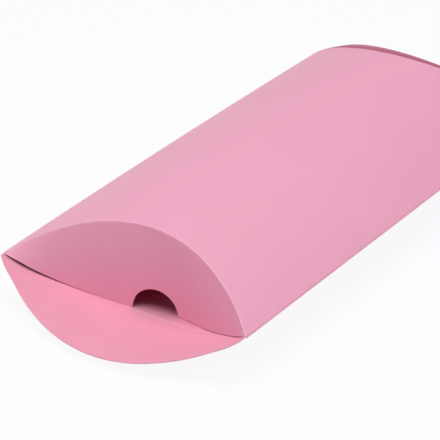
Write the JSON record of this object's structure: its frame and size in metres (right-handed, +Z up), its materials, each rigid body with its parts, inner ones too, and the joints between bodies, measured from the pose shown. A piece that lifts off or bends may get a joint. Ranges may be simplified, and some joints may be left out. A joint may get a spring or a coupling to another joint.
{
  "type": "pillow box",
  "caption": "Pillow box folded from pink board, with arched panels, a glued side seam and curved end flaps that fold in and out.",
  "frame": {"origin": "on the table, under the middle of the box's outline with its front flap lying open", "axes": "+X across the box to the glued side, +Y along the box from the open end to the closed end, +Z up"},
  "size_m": [0.165, 0.3219, 0.055],
  "materials": {
    "board": "smooth pink folding board, matt",
    "scored_board": "the same board, crushed at its creases",
    "glue": "thin film of dried glue"
  },
  "bodies": {
    "box": {"top_panel": "board", "bottom_panel": "board", "left_side_fold": "scored_board", "right_side_fold": "scored_board", "glue_tab": "board", "glue_line": "glue", "front_top_crease": "scored_board", "front_bottom_crease": "scored_board", "rear_top_crease": "scored_board", "rear_bottom_crease": "scored_board"},
    "front_inner_flap": {"front_inner_flap": "board"},
    "front_outer_flap": {"front_outer_flap": "board"},
    "rear_inner_flap": {"rear_inner_flap": "board"},
    "rear_outer_flap": {"rear_outer_flap": "board"}
  },
  "joints": [
    {"name": "front_inner_fold", "type": "hinge", "parent": "box", "child": "front_inner_flap", "pos_m": [0, -0.10575, 0.055], "axis": [-1, 0, 0], "range_deg": [0, 90]},
    {"name": "front_outer_fold", "type": "hinge", "parent": "box", "child": "front_outer_flap", "pos_m": [0, -0.10655, 0], "axis": [-1, 0, 0], "range_deg": [0, 90], "deforming": ["front_outer_flap"]},
    {"name": "rear_outer_fold", "type": "hinge", "parent": "box", "child": "rear_outer_flap", "pos_m": [0, 0.13345, 0], "axis": [-1, 0, 0], "range_deg": [0, 90]},
    {"name": "rear_inner_fold", "type": "hinge", "parent": "box", "child": "rear_inner_flap", "pos_m": [0, 0.13265, 0.055], "axis": [1, 0, 0], "range_deg": [0, 90], "deforming": ["rear_inner_flap"]}
  ],
  "couplings": [
    {"joint": "rear_inner_fold", "follows": "rear_outer_fold", "ratio": 1}
  ]
}
